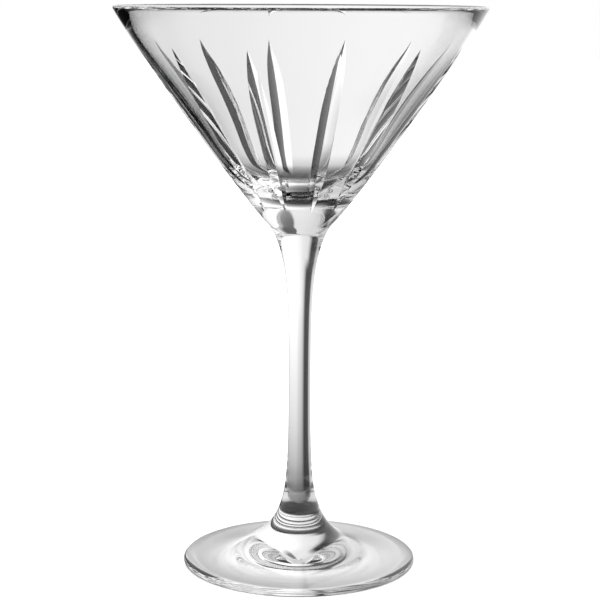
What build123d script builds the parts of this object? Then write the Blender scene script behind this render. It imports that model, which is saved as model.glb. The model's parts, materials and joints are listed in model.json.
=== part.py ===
from build123d import *
import os
from math import asin, atan, cos, degrees, radians, sin, sqrt, tan

# Cut martini glass: a bowl, a stem and a foot, three pieces of glass welded end to end.
# Millimetres, +Z up. The origin is on the axis of the glass, in the plane that it stands on.
# Outlines are drawn flat, with x the distance from the axis and y the height, then turned.

# Overall sizes
rim_diameter = 115.2
foot_diameter = 74.2
bowl_height = 70.3           # from the upper weld to the rim
stem_length = 83.4           # from weld to weld
foot_height = 22.9           # from the resting plane to the lower weld

# Bowl
bowl_weld_diameter = 16.4
heel_radius = 11.0           # round of the outside, from the stem's slope to the cone's
heel_angle = 44.5            # of the side, from the axis, at the top of the heel
side_pull = 10.5             # how far the side follows the heel
lip_angle = 27.5             # of the side, from the axis, at the lip
lip_pull = 10.5              # how far the side follows the lip
lip_thickness = 1.3          # fire-polished round
lip_taper = 8.0              # along the outside, from the lip down to the upper wall
upper_wall = 1.8             # square to the outside
even_wall = 14.0             # along the outside, from the lip down to where it starts to thicken
lower_wall = 2.7             # square to the outside, at the top of the well
well_top = 36.0              # along the outside, up from the weld to the top of the well
well_radius = 29.0           # round bottom of the drink space
inside_steps = 24            # places where the inside is set out, from the lip to the well

# Flutes cut into the outside of the bowl with a wheel
flute_count = 12
flute_depth = 1.2
flute_angle = 135.0          # between the two facets
flute_below_rim = 8.5        # along the outside, from the rim to the run-out on a straight side
flute_above_weld = 4.5       # along the outside, from the weld to the run-out on a straight side
run_radius = 375.0           # of the root line, where the wheel runs in and out
first_flute = -77.4          # from +X towards +Y
cutter_clear = 2.0           # how far the cutter stands out of the glass
run_share = 1.25             # of the run into the glass, to start clear of it

# Stem
stem_top_angle = 24.0        # of the side, from the axis, at the upper weld
neck_pull = 10.0             # how far the side follows that slope
waist_diameter = 7.0
waist_above_weld = 37.0
waist_pull_up = 27.0         # how far the side runs straight up from the waist
waist_pull_down = 20.0       # and straight down
ankle_pull = 6.0             # how far the side follows the slope at the lower weld
foot_weld_diameter = 9.9

# Foot
foot_weld_angle = 11.5       # of the side, from the axis, at the lower weld
flare_pull = 14.0            # how far the flare follows the stem
foot_slope = 10.0            # of the upper face, at the edge
slope_pull = 22.0            # how far the upper face follows that slope
foot_edge = 1.6              # rounded
resting_ring = 3.0           # width of the flat ring that the glass stands on
hollow_rise = 3.0            # of the underside, in the middle

# Heights and radii worked out from the sizes
lower_weld = foot_height
upper_weld = lower_weld + stem_length
rim_height = upper_weld + bowl_height
rim_radius = rim_diameter / 2
foot_radius = foot_diameter / 2
bowl_weld_radius = bowl_weld_diameter / 2
foot_weld_radius = foot_weld_diameter / 2


def turned(outline):
    """The solid that a closed outline sweeps out round the axis."""
    return revolve(Plane.XZ * make_face(outline), Axis.Z)


def heading(angle):
    """Unit step upward and outward, at an angle from the axis."""
    return Vector(sin(radians(angle)), cos(radians(angle)))


def right_of(step):
    """The step turned a quarter turn clockwise: outward, for a side drawn upward."""
    return Vector(step.Y, -step.X)


def bowl_outside():
    """Outside of the bowl, from the weld up to the round of the lip."""
    lip = lip_thickness / 2
    weld = Vector(bowl_weld_radius, upper_weld)
    heel = JernArc(weld, heading(stem_top_angle), heel_radius, stem_top_angle - heel_angle)
    heel_top = heel @ 1
    lip_middle = Vector(rim_radius - lip, rim_height - lip)
    side_top = lip_middle + right_of(heading(lip_angle)) * lip
    cone = Bezier(
        heel_top,
        heel_top + heading(heel_angle) * side_pull,
        side_top - heading(lip_angle) * lip_pull,
        side_top,
    )
    return Wire([heel.edge(), cone.edge()])


def along_side(side, distance):
    """Unit step of the outside of the bowl, at a distance along it."""
    return side.tangent_at(distance, position_mode=PositionMode.LENGTH)


def on_side(side, distance, depth=0.0):
    """A point at a distance along the outside of the bowl, and at a depth below it."""
    place = side.position_at(distance, position_mode=PositionMode.LENGTH)
    return place - right_of(along_side(side, distance)) * depth


def wall_at(side, distance):
    """Thickness of the wall at a distance along the outside of the bowl."""
    below_lip = side.length - distance
    if below_lip < lip_taper:
        return upper_wall - (upper_wall - lip_thickness) * (1 - below_lip / lip_taper) ** 2
    share = max(0, below_lip - even_wall) / (side.length - well_top - even_wall)
    return upper_wall + (lower_wall - upper_wall) * share ** 2 * (3 - 2 * share)


def inside_of(side):
    """Inside of the bowl from the lip down: the wall below the outside, then a round well."""
    lip = lip_thickness / 2
    lip_middle = Vector(rim_radius - lip, rim_height - lip)
    widening = degrees(atan(2 * (upper_wall - lip_thickness) / lip_taper))
    up_lip = heading(lip_angle + widening)
    places = [lip_middle - right_of(up_lip) * lip]
    for number in range(1, inside_steps + 1):
        distance = side.length - (side.length - well_top) * number / inside_steps
        places.append(on_side(side, distance, wall_at(side, distance)))
    low = places[-1]
    up_low = along_side(side, well_top)
    well_middle = Vector(0, low.Y - low.X * up_low.Y / up_low.X + well_radius / up_low.X)
    well_side = well_middle + right_of(up_low) * well_radius
    well_bottom = well_middle - Vector(0, well_radius)
    well_between = well_middle + (right_of(up_low) + Vector(0, -1)).normalized() * well_radius
    inside = Curve() + Spline(places, tangents=(up_lip * -1, up_low * -1))
    inside += Line(low, well_side)
    inside += ThreePointArc(well_side, well_between, well_bottom)
    return inside


def make_bowl_blank():
    """The bowl before it is cut."""
    lip = lip_thickness / 2
    side = bowl_outside()
    inside = Wire(inside_of(side).edges())
    lip_middle = Vector(rim_radius - lip, rim_height - lip)
    lip_top = lip_middle + (inside % 0 * -1 + side % 1).normalized() * lip
    outline = Curve() + side.edges()
    outline += ThreePointArc(side @ 1, lip_top, inside @ 0)
    outline += inside.edges()
    outline += Polyline(inside @ 1, (0, upper_weld), side @ 0)
    return turned(outline)


def flute_path():
    """Root line of one flute: the wheel runs in, follows the side at full depth and runs out."""
    side = bowl_outside()
    run = sqrt(2 * run_radius * flute_depth)
    low = flute_above_weld + run
    high = side.length - flute_below_rim - run
    places = (low, (low + high) / 2, high)
    floor = ThreePointArc(*[on_side(side, place, flute_depth) for place in places])
    run_turn = degrees(run_share * run / run_radius)
    run_in = JernArc(floor @ 1, floor % 1, run_radius, -run_turn)
    run_out = JernArc(floor @ 0, (floor % 0) * -1, run_radius, run_turn)
    return Wire([Plane.XZ * edge for edge in (run_out, floor, run_in)])


def make_cutter():
    """Solid that one flute takes away, in the plane of +X and +Z."""
    path = flute_path()
    height = flute_depth + cutter_clear
    half_width = height * tan(radians(flute_angle / 2))
    start = path @ 0
    along = path % 0
    side_ways = Vector(0, 1, 0)
    out = side_ways.cross(along)
    if out.X < 0:
        out = out * -1
    section = Polyline(
        start,
        start + out * height + side_ways * half_width,
        start + out * height - side_ways * half_width,
        close=True,
    )
    return sweep(make_face(section), path)


def make_bowl():
    bowl = make_bowl_blank()
    cutter = make_cutter()
    for number in range(flute_count):
        bowl -= Rot(0, 0, first_flute + number * 360 / flute_count) * cutter
    return bowl


def make_stem():
    """Drawn stem, widest at the welds and slimmest at the waist."""
    foot_end = Vector(foot_weld_radius, lower_weld)
    bowl_end = Vector(bowl_weld_radius, upper_weld)
    waist = Vector(waist_diameter / 2, lower_weld + waist_above_weld)
    outline = Bezier(
        foot_end,
        foot_end + heading(-foot_weld_angle) * ankle_pull,
        waist - Vector(0, waist_pull_down),
        waist,
    )
    outline += Bezier(
        waist,
        waist + Vector(0, waist_pull_up),
        bowl_end - heading(stem_top_angle) * neck_pull,
        bowl_end,
    )
    outline += Polyline(bowl_end, (0, upper_weld), (0, lower_weld), foot_end)
    return turned(outline)


def make_foot():
    """Foot disc with its stub: flared on top, rounded at the edge, hollow underneath."""
    edge = foot_edge / 2
    edge_middle = Vector(foot_radius - edge, edge)
    weld = Vector(foot_weld_radius, lower_weld)
    down = heading(-foot_weld_angle) * -1
    fall = Vector(cos(radians(foot_slope)), -sin(radians(foot_slope)))
    top_edge = edge_middle - right_of(fall) * edge
    upper_face = Bezier(weld, weld + down * flare_pull, top_edge - fall * slope_pull, top_edge)
    ring_outside = Vector(foot_radius - edge, 0)
    ring_inside = Vector(foot_radius - edge - resting_ring, 0)
    hollow_radius = (ring_inside.X ** 2 + hollow_rise ** 2) / (2 * hollow_rise)
    half_turn = asin(ring_inside.X / hollow_radius) / 2
    hollow_between = Vector(
        hollow_radius * sin(half_turn),
        hollow_rise - hollow_radius * (1 - cos(half_turn)),
    )
    outline = upper_face
    outline += ThreePointArc(top_edge, (foot_radius, edge), ring_outside)
    outline += Line(ring_outside, ring_inside)
    outline += ThreePointArc(ring_inside, hollow_between, (0, hollow_rise))
    outline += Polyline((0, hollow_rise), (0, lower_weld), weld)
    return turned(outline)


os.makedirs("parts", exist_ok=True)
export_step(make_bowl(), "parts/bowl.step")
export_step(make_stem(), "parts/stem.step")
export_step(make_foot(), "parts/foot.step")
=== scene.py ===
import json
from math import atan, atan2, cos, pi, radians, sin, sqrt, tan

import bpy
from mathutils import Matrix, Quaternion, Vector

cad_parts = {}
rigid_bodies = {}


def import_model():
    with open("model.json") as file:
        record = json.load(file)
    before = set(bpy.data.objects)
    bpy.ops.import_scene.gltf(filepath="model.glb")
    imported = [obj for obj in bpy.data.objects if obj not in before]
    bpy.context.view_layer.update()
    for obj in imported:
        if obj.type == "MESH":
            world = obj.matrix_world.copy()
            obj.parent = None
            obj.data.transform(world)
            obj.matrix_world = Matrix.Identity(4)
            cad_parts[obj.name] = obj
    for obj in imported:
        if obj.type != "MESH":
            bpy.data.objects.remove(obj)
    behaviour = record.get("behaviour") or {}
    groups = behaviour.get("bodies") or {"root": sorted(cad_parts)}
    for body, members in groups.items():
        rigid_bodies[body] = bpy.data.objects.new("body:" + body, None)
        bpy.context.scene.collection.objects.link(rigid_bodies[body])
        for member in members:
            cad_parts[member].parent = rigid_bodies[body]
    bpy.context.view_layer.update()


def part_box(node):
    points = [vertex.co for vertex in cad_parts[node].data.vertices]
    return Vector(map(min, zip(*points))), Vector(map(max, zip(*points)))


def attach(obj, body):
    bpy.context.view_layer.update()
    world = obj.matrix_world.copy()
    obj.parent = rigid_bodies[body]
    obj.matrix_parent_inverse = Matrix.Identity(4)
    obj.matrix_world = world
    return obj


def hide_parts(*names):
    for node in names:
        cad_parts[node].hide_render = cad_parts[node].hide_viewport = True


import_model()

mm = 0.001

# ---------------------------------------------------------------- sizes
# Heights and radii of the three pieces, from the frame.
bowl_low, bowl_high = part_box("bowl")
foot_low, foot_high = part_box("foot")
upper_weld = bowl_low.z
lower_weld = foot_high.z
rim_height = bowl_high.z
rim_radius = bowl_high.x
foot_radius = foot_high.x

# The same settable sizes as the CAD model.
bowl_weld_radius = 8.2 * mm
heel_radius = 11.0 * mm
heel_angle = radians(44.5)
side_pull = 10.5 * mm
lip_angle = radians(27.5)
lip_pull = 10.5 * mm
lip = 0.65 * mm
lip_taper = 8.0 * mm
upper_wall = 1.8 * mm
even_wall = 14.0 * mm
lower_wall = 2.7 * mm
well_top = 36.0 * mm
well_radius = 29.0 * mm

flute_count = 12
flute_depth = 1.2 * mm
flute_angle = radians(135)
flute_below_rim = 8.5 * mm
flute_above_weld = 4.5 * mm
run_radius = 375.0 * mm
first_flute = radians(-77.4)
cutter_clear = 2.0 * mm
run_share = 1.25

foot_weld_radius = 4.95 * mm
foot_weld_angle = radians(11.5)
ankle_pull = 6.0 * mm
waist_radius = 3.5 * mm
waist_above_weld = 37.0 * mm
waist_pull_down = 20.0 * mm
waist_pull_up = 27.0 * mm
neck_pull = 10.0 * mm
stem_top_angle = radians(24)

flare_pull = 14.0 * mm
foot_slope = radians(10)
slope_pull = 22.0 * mm
foot_edge = 0.8 * mm
resting_ring = 3.0 * mm
hollow_rise = 3.0 * mm

turn_steps = 480             # of each outline, round the axis
inside_steps = 48            # of the bowl's inside, from the lip to the well
run_steps = 14               # of a flute's run in and of its run out
floor_steps = 12             # of a flute at full depth
merge_distance = 0.001 * mm
crease = radians(12)         # sharper edges than this stay sharp

# Camera, floor and light.
camera_place = (0, -0.54135, 0.18214)
camera_tilt = radians(10.176)
camera_lean = radians(0.25)
camera_lens = 104.54
floor_radius = 4.0
light_strength = 3.6
light_spread = radians(60)
glass_ior = 1.52


# ---------------------------------------------------------------- outlines
# Flat outlines: x is the distance from the axis and y the height.
def heading(angle):
    """Unit step upward and outward, at an angle from the axis."""
    return Vector((sin(angle), cos(angle)))


def right_of(step):
    """The step turned a quarter turn clockwise: outward, for a side drawn upward."""
    return Vector((step.y, -step.x))


def line(start, end, steps):
    """Points on a straight line, both ends included."""
    return [Vector(start).lerp(Vector(end), number / steps) for number in range(steps + 1)]


def bezier(corners, steps):
    """Points along a Bezier curve, both ends included."""
    points = []
    for number in range(steps + 1):
        level = [Vector(corner) for corner in corners]
        while len(level) > 1:
            level = [a.lerp(b, number / steps) for a, b in zip(level, level[1:])]
        points.append(level[0])
    return points


def turn_between(middle, start, end):
    """The short turn round middle that carries start towards end."""
    a = Vector(start) - Vector(middle)
    b = Vector(end) - Vector(middle)
    return atan2(a.x * b.y - a.y * b.x, a.dot(b))


def carried(point, middle, angle):
    """The point turned round middle, anticlockwise in the outline."""
    arm = Vector(point) - Vector(middle)
    return Vector(middle) + arm * cos(angle) - right_of(arm) * sin(angle)


def arc(middle, start, end, steps):
    """Points round middle from start to end, the short way, both ends included."""
    turn = turn_between(middle, start, end)
    return [carried(start, middle, turn * number / steps) for number in range(steps + 1)]


def joined(*stretches):
    """One list of points, from stretches that meet end to end."""
    points = list(stretches[0])
    for stretch in stretches[1:]:
        points += stretch[1:]
    return points


lip_middle = Vector((rim_radius - lip, rim_height - lip))
bowl_weld = Vector((bowl_weld_radius, upper_weld))
foot_weld = Vector((foot_weld_radius, lower_weld))
heel_middle = bowl_weld + right_of(heading(stem_top_angle)) * heel_radius
heel_top = carried(bowl_weld, heel_middle, stem_top_angle - heel_angle)
side_top = lip_middle + right_of(heading(lip_angle)) * lip
side_corners = (
    heel_top,
    heel_top + heading(heel_angle) * side_pull,
    side_top - heading(lip_angle) * lip_pull,
    side_top,
)
side_points = joined(arc(heel_middle, bowl_weld, heel_top, 40), bezier(side_corners, 500))
side_length = sum((b - a).length for a, b in zip(side_points, side_points[1:]))


def side_step(distance):
    """The point at a distance up the bowl's outside from the weld, and the unit step there."""
    walked = 0.0
    for a, b in zip(side_points, side_points[1:]):
        step = (b - a).length
        if walked + step >= distance:
            break
        walked += step
    return a.lerp(b, (distance - walked) / step), (b - a).normalized()


def on_side(distance, depth=0.0):
    """A point at a distance along the outside of the bowl, and at a depth below it."""
    place, step = side_step(distance)
    return place - right_of(step) * depth


def wall_at(distance):
    """Thickness of the wall at a distance along the outside of the bowl."""
    below_lip = side_length - distance
    if below_lip < lip_taper:
        return upper_wall - (upper_wall - 2 * lip) * (1 - below_lip / lip_taper) ** 2
    share = max(0, below_lip - even_wall) / (side_length - well_top - even_wall)
    return upper_wall + (lower_wall - upper_wall) * share ** 2 * (3 - 2 * share)


def bowl_outline():
    """Outline of the bowl, from the middle of the weld round the outside and back down inside."""
    up_lip = heading(lip_angle + atan(2 * (upper_wall - 2 * lip) / lip_taper))
    inside_top = lip_middle - right_of(up_lip) * lip
    inside = [inside_top]
    for number in range(1, inside_steps + 1):
        distance = side_length - (side_length - well_top) * number / inside_steps
        inside.append(on_side(distance, wall_at(distance)))
    low = inside[-1]
    up_low = side_step(well_top)[1]
    well_middle = Vector((0, low.y - low.x * up_low.y / up_low.x + well_radius / up_low.x))
    well_side = well_middle + right_of(up_low) * well_radius
    well_bottom = well_middle - Vector((0, well_radius))
    return joined(
        line((0, upper_weld), bowl_weld, 3),
        arc(heel_middle, bowl_weld, heel_top, 8),
        bezier(side_corners, 44),
        arc(lip_middle, side_top, inside_top, 14),
        inside,
        line(low, well_side, 3),
        arc(well_middle, well_side, well_bottom, 36),
    )


def stem_outline():
    """Outline of the stem, from the middle of the lower weld up to the middle of the upper."""
    waist = Vector((waist_radius, lower_weld + waist_above_weld))
    lower = (
        foot_weld,
        foot_weld + heading(-foot_weld_angle) * ankle_pull,
        waist - Vector((0, waist_pull_down)),
        waist,
    )
    upper = (
        waist,
        waist + Vector((0, waist_pull_up)),
        bowl_weld - heading(stem_top_angle) * neck_pull,
        bowl_weld,
    )
    return joined(
        line((0, lower_weld), foot_weld, 3),
        bezier(lower, 36),
        bezier(upper, 48),
        line(bowl_weld, (0, upper_weld), 3),
    )


def foot_outline():
    """Outline of the foot, from the middle of the weld down the top and back underneath."""
    edge_middle = Vector((foot_radius - foot_edge, foot_edge))
    fall = Vector((cos(foot_slope), -sin(foot_slope)))
    top_edge = edge_middle - right_of(fall) * foot_edge
    face = (
        foot_weld,
        foot_weld - heading(-foot_weld_angle) * flare_pull,
        top_edge - fall * slope_pull,
        top_edge,
    )
    ring_outside = Vector((foot_radius - foot_edge, 0))
    ring_inside = ring_outside - Vector((resting_ring, 0))
    hollow_radius = (ring_inside.x ** 2 + hollow_rise ** 2) / (2 * hollow_rise)
    hollow_middle = Vector((0, hollow_rise - hollow_radius))
    return joined(
        line((0, lower_weld), foot_weld, 3),
        bezier(face, 70),
        arc(edge_middle, top_edge, ring_outside, 14),
        line(ring_outside, ring_inside, 1),
        arc(hollow_middle, ring_inside, (0, hollow_rise), 40),
    )


# ---------------------------------------------------------------- mesh work
def edit(piece):
    """Enters edit mode on one piece, with all of it selected."""
    if bpy.context.mode != "OBJECT":
        bpy.ops.object.mode_set(mode="OBJECT")
    bpy.ops.object.select_all(action="DESELECT")
    bpy.context.view_layer.objects.active = piece
    piece.select_set(True)
    bpy.ops.object.mode_set(mode="EDIT")
    bpy.ops.mesh.select_all(action="SELECT")


def drawn(name, points):
    """A chain of edges through the points, in the plane of +X and +Z, left in edit mode."""
    bpy.ops.object.select_all(action="DESELECT")
    bpy.ops.mesh.primitive_plane_add(size=mm, location=(0, 0, 0))
    piece = bpy.context.object
    piece.name = piece.data.name = name
    edit(piece)
    bpy.ops.mesh.merge(type="CENTER")
    bpy.ops.transform.translate(value=(points[0].x, 0, points[0].y))
    for a, b in zip(points, points[1:]):
        step = {"value": (b.x - a.x, 0, b.y - a.y)}
        bpy.ops.mesh.extrude_region_move(TRANSFORM_OT_translate=step)
    return piece


def turned(name, points):
    """A closed glass piece: its outline spun round the axis."""
    piece = drawn(name, points)
    bpy.ops.mesh.select_all(action="SELECT")
    bpy.ops.mesh.spin(steps=turn_steps, angle=2 * pi, center=(0, 0, 0), axis=(0, 0, 1))
    bpy.ops.mesh.select_all(action="SELECT")
    bpy.ops.mesh.remove_doubles(threshold=merge_distance)
    bpy.ops.mesh.normals_make_consistent(inside=False)
    bpy.ops.object.mode_set(mode="OBJECT")
    return piece


def circle_through(a, b, c):
    """Middle of the circle through three points."""
    ab, ac = b - a, c - a
    twice = 2 * (ab.x * ac.y - ab.y * ac.x)
    x = (ac.y * ab.length_squared - ab.y * ac.length_squared) / twice
    y = (ab.x * ac.length_squared - ac.x * ab.length_squared) / twice
    return a + Vector((x, y))


def turn_about(middle, angle, steps):
    """Carries the selected section round a wheel middle, in the plane of +X and +Z."""
    bpy.ops.mesh.spin(steps=steps, angle=angle, center=(middle.x, 0, middle.y), axis=(0, 1, 0))


def make_cutter():
    """The glass that one flute takes away: a V carried along the wheel's path, at +X."""
    run = sqrt(2 * run_radius * flute_depth)
    low = flute_above_weld + run
    high = side_length - flute_below_rim - run
    floor = [on_side(place, flute_depth) for place in (low, (low + high) / 2, high)]
    floor_middle = circle_through(*floor)
    floor_turn = turn_between(floor_middle, floor[0], floor[2])
    # The wheel stands outside the glass, and runs in and out along its own round.
    run_turn = run_share * run / run_radius
    low_wheel = floor[0] + (floor[0] - floor_middle).normalized() * run_radius
    high_wheel = floor[2] + (floor[2] - floor_middle).normalized() * run_radius
    start = carried(floor[0], low_wheel, run_turn)
    out = (low_wheel - start).normalized()
    height = flute_depth + cutter_clear
    half_width = height * tan(flute_angle / 2)
    top = start + out * height
    bpy.ops.object.select_all(action="DESELECT")
    bpy.ops.mesh.primitive_circle_add(vertices=3, fill_type="NGON", location=(0, 0, 0))
    cutter = bpy.context.object
    cutter.name = cutter.data.name = "flute_cutter"
    cutter.data.materials.append(cut)
    corners = ((start.x, 0, start.y), (top.x, half_width, top.y), (top.x, -half_width, top.y))
    for vertex, corner in zip(cutter.data.vertices, corners):
        vertex.co = corner
    edit(cutter)
    turn_about(low_wheel, -run_turn, run_steps)
    turn_about(floor_middle, floor_turn, floor_steps)
    turn_about(high_wheel, -run_turn, run_steps)
    bpy.ops.mesh.select_all(action="SELECT")
    bpy.ops.mesh.normals_make_consistent(inside=False)
    bpy.ops.object.mode_set(mode="OBJECT")
    return cutter


def cut_flutes(bowl):
    """Takes the flutes out of the bowl, with one cutter copied all round."""
    cutter = make_cutter()
    rack = bpy.data.collections.new("cutters")
    bpy.context.scene.collection.children.link(rack)
    for number in range(flute_count):
        copy = cutter.copy()
        copy.data = cutter.data.copy()
        copy.rotation_euler.z = first_flute + number * 2 * pi / flute_count
        rack.objects.link(copy)
    bpy.ops.object.select_all(action="DESELECT")
    bpy.context.view_layer.objects.active = bowl
    bowl.select_set(True)
    modifier = bowl.modifiers.new("flutes", "BOOLEAN")
    modifier.operation = "DIFFERENCE"
    modifier.solver = "EXACT"
    modifier.operand_type = "COLLECTION"
    modifier.collection = rack
    modifier.material_mode = "TRANSFER"
    bpy.ops.object.modifier_apply(modifier=modifier.name)
    for copy in list(rack.objects) + [cutter]:
        bpy.data.objects.remove(copy)
    bpy.data.collections.remove(rack)


def paint_discs(piece, heights):
    """Gives the flat weld discs their own slot, so that light crosses them as inside one glass."""
    for face in piece.data.polygons:
        for height in heights:
            if abs(face.center.z - height) < merge_distance and abs(face.normal.z) > 0.99:
                face.material_index = list(piece.data.materials).index(welded)


def smooth(piece):
    """Smooth shading, with the edges of the flutes left sharp."""
    bpy.ops.object.select_all(action="DESELECT")
    bpy.context.view_layer.objects.active = piece
    piece.select_set(True)
    bpy.ops.object.shade_smooth_by_angle(angle=crease)


# ---------------------------------------------------------------- shaders
class Wire:
    """A node's output. Sums and products of wires add their Math nodes."""

    def __init__(self, shader, socket):
        self.shader = shader
        self.socket = socket

    def __add__(self, other):
        return self.shader.math("ADD", self, other)

    __radd__ = __add__

    def __sub__(self, other):
        return self.shader.math("SUBTRACT", self, other)

    def __rsub__(self, other):
        return self.shader.math("SUBTRACT", other, self)

    def __mul__(self, other):
        return self.shader.math("MULTIPLY", self, other)

    __rmul__ = __mul__

    def __truediv__(self, other):
        return self.shader.math("DIVIDE", self, other)


class Shader:
    """One node tree, built up node by node."""

    def __init__(self, tree):
        self.tree = tree
        self.tree.nodes.clear()

    def node(self, kind, settings=None, inputs=None, output=0):
        """Adds a node: its type, its settings, its sockets' values or wires, and the output used."""
        node = self.tree.nodes.new(kind)
        for name, value in (settings or {}).items():
            if name == "stops":
                self.set_stops(node.color_ramp, value)
            else:
                setattr(node, name, value)
        for name, value in (inputs or {}).items():
            if isinstance(value, Wire):
                self.tree.links.new(value.socket, node.inputs[name])
            else:
                node.inputs[name].default_value = value
        return Wire(self, node.outputs[output]) if node.outputs else None

    def set_stops(self, ramp, stops):
        """Straight changes of brightness between stops, given in order as place and shade."""
        ramp.interpolation = "LINEAR"
        ramp.elements.remove(ramp.elements[1])
        ramp.elements[0].position = stops[0][0]
        for place, shade in stops[1:]:
            ramp.elements.new(place)
        for element, (place, shade) in zip(ramp.elements, stops):
            element.color = (shade, shade, shade, 1)

    def math(self, operation, *values):
        return self.node("ShaderNodeMath", {"operation": operation}, dict(enumerate(values)))


def new_material(name):
    material = bpy.data.materials.new(name)
    material.use_nodes = True
    return material, Shader(material.node_tree)


def make_glass(name, waviness):
    """Clear glass with a faint waviness, in metres, and a barely uneven polish."""
    material, shader = new_material(name)
    place = shader.node("ShaderNodeTexCoord", output="Object")
    swell = shader.node("ShaderNodeTexNoise", {}, {"Vector": place, "Scale": 60.0, "Detail": 1.0})
    bump = shader.node("ShaderNodeBump", {}, {"Height": swell, "Distance": waviness, "Strength": 1.0})
    smear = shader.node("ShaderNodeTexNoise", {}, {"Vector": place, "Scale": 220.0, "Detail": 3.0})
    inputs = {
        "Base Color": (1, 1, 1, 1),
        "Roughness": smear * 0.001,
        "IOR": glass_ior,
        "Transmission Weight": 1.0,
        "Normal": bump,
    }
    surface = shader.node("ShaderNodeBsdfPrincipled", {}, inputs)
    shader.node("ShaderNodeOutputMaterial", {}, {"Surface": surface})
    return material


def make_weld():
    """A weld inside the glass: light goes straight through."""
    material, shader = new_material("fused_weld")
    surface = shader.node("ShaderNodeBsdfPrincipled", {}, {"Alpha": 0.0, "IOR": 1.0})
    shader.node("ShaderNodeOutputMaterial", {}, {"Surface": surface})
    return material


def make_floor_paint():
    """Plain pale paint with a fine grain."""
    material, shader = new_material("floor_paint")
    place = shader.node("ShaderNodeTexCoord", output="Object")
    grain = shader.node("ShaderNodeTexNoise", {}, {"Vector": place, "Scale": 900.0, "Detail": 2.0})
    inputs = {"Base Color": (0.93, 0.93, 0.93, 1), "Roughness": grain * 0.1 + 0.7}
    surface = shader.node("ShaderNodeBsdfPrincipled", {}, inputs)
    shader.node("ShaderNodeOutputMaterial", {}, {"Surface": surface})
    return material


# Brightness of the studio by direction. Azimuths run to the right from straight behind the
# glass, and elevations upward from the horizontal, both in degrees.
backdrop_low = [
    (-180, 0.55), (-120, 0.75), (-80, 0.8), (-58, 0.75), (-46, 0.7), (-41, 0.4), (-38, 0.05),
    (-34, 0.02), (-22, 0.02), (-18, 0.03), (-16, 0.1), (-14, 0.28), (-12, 0.5), (-9, 0.72),
    (-5, 0.88), (0, 1), (4, 1.06), (8, 1.18), (12, 1.3), (50, 1.3), (70, 1.2), (90, 1.1),
    (120, 0.9), (150, 0.7), (180, 0.55),
]
backdrop_high = [
    (-180, 0.55), (-120, 0.7), (-80, 0.7), (-58, 0.6), (-46, 0.5), (-40, 0.04), (-28, 0.02),
    (-23, 0.06), (-19, 0.5), (-15, 0.8), (-5, 0.88), (0, 1), (4, 1.06), (12, 1.2), (50, 1.2),
    (70, 1.2), (90, 1.1), (120, 0.9), (150, 0.7), (180, 0.55),
]
overhead = [
    (-180, 0.6), (-60, 0.75), (-10, 0.85), (18, 0.85), (24, 0.15), (55, 0.12), (62, 0.8),
    (180, 0.6),
]
# How the brightness falls off towards the floor, behind the glass and to the sides.
fall_off_behind = [
    (-90, 0.02), (-60, 0.02), (-45, 0.03), (-38, 0.05), (-33, 0.1), (-28, 0.17), (-22, 0.3),
    (-17, 0.48), (-12, 0.75), (-7, 1), (90, 1),
]
fall_off_aside = [
    (-90, 0.02), (-45, 0.03), (-38, 0.08), (-34, 0.35), (-30, 0.6), (-12, 0.85), (-7, 1), (90, 1),
]
counts_as_behind = [(-180, 0), (-50, 0), (-41, 1), (60, 1), (80, 0), (180, 0)]
# Where the upper backdrop takes over from the lower, and the ceiling and floor from both.
rise_to_high = [(-90, 0), (1, 0), (7, 1), (90, 1)]
rise_to_overhead = [(-90, 1), (-60, 1), (-45, 0), (40, 0), (55, 1), (90, 1)]


def light_room():
    """Soft studio surround: a white backdrop with a dark gap on its left, darker towards the floor."""
    world = bpy.data.worlds.new("studio")
    bpy.context.scene.world = world
    world.use_nodes = True
    shader = Shader(world.node_tree)
    way = shader.node("ShaderNodeTexCoord", output="Generated")
    across = shader.node("ShaderNodeSeparateXYZ", {}, {"Vector": way}, output="X")
    ahead = shader.node("ShaderNodeSeparateXYZ", {}, {"Vector": way}, output="Y")
    up = shader.node("ShaderNodeSeparateXYZ", {}, {"Vector": way}, output="Z")
    azimuth = shader.math("ARCTAN2", across, ahead) / (2 * pi) + 0.5
    elevation = shader.math("ARCSINE", up) / pi + 0.5

    def around(stops):
        places = [(angle / 360 + 0.5, shade) for angle, shade in stops]
        return shader.node("ShaderNodeValToRGB", {"stops": places}, {"Fac": azimuth})

    def upward(stops):
        places = [(angle / 180 + 0.5, shade) for angle, shade in stops]
        return shader.node("ShaderNodeValToRGB", {"stops": places}, {"Fac": elevation})

    def between(first, second, share):
        return first + share * (second - first)

    shade = between(around(backdrop_low), around(backdrop_high), upward(rise_to_high))
    shade = between(shade, around(overhead), upward(rise_to_overhead))
    fall_off = between(upward(fall_off_aside), upward(fall_off_behind), around(counts_as_behind))
    shade = shade * fall_off
    seen = shader.node("ShaderNodeLightPath", output="Is Camera Ray")
    strength = between(shade, 1.0, seen)
    surface = shader.node("ShaderNodeBackground", {}, {"Strength": strength, "Color": (1, 1, 1, 1)})
    shader.node("ShaderNodeOutputWorld", {}, {"Surface": surface})


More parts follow.
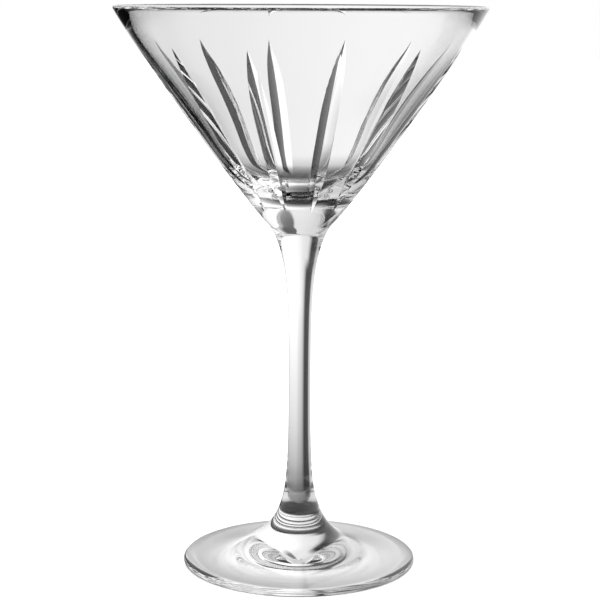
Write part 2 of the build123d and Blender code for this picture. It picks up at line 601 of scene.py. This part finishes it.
# ---------------------------------------------------------------- camera, floor and light
def place_camera():
    """Looks at the glass from a little above its middle."""
    data = bpy.data.cameras.new("camera")
    camera = bpy.data.objects.new("camera", data)
    bpy.context.scene.collection.objects.link(camera)
    data.sensor_width = 36.0
    data.lens = camera_lens
    camera.location = camera_place
    aim = Vector((0, cos(camera_tilt), -sin(camera_tilt)))
    camera.rotation_mode = "QUATERNION"
    camera.rotation_quaternion = aim.to_track_quat("-Z", "Y") @ Quaternion((0, 0, 1), camera_lean)
    data.clip_start = 0.01
    data.clip_end = 20
    bpy.context.scene.camera = camera


def lay_floor():
    """Plain floor that the glass stands on."""
    bpy.ops.object.select_all(action="DESELECT")
    bpy.ops.mesh.primitive_circle_add(vertices=64, radius=floor_radius, fill_type="NGON", location=(0, 0, 0))
    floor = bpy.context.object
    floor.name = "floor"
    floor.data.materials.append(make_floor_paint())
    floor.visible_transmission = False
    floor.visible_glossy = False


def hang_light():
    """Wide overhead light, for the floor."""
    data = bpy.data.lights.new("overhead", "SUN")
    data.energy = light_strength
    data.angle = light_spread
    light = bpy.data.objects.new("overhead", data)
    bpy.context.scene.collection.objects.link(light)
    light.visible_glossy = False
    light.visible_transmission = False
    light.visible_camera = False


# ---------------------------------------------------------------- the glass
place_camera()
light_room()
lay_floor()
hang_light()

scene = bpy.context.scene
scene.view_settings.view_transform = "Standard"
scene.cycles.max_bounces = 40
scene.cycles.transmission_bounces = 40
scene.cycles.glossy_bounces = 16
scene.cycles.transparent_max_bounces = 40

blown = make_glass("clear_glass", 0.02 * mm)
cut = make_glass("polished_cut", 0.01 * mm)
welded = make_weld()

bowl = turned("bowl_glass", bowl_outline())
stem = turned("stem_glass", stem_outline())
foot = turned("foot_glass", foot_outline())
for piece in (bowl, stem, foot):
    piece.data.materials.append(blown)
    piece.data.materials.append(welded)
cut_flutes(bowl)
paint_discs(bowl, [upper_weld])
paint_discs(stem, [upper_weld, lower_weld])
paint_discs(foot, [lower_weld])
for piece, node in ((bowl, "bowl"), (stem, "stem"), (foot, "foot")):
    smooth(piece)
    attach(piece, "root")
    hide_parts(node)
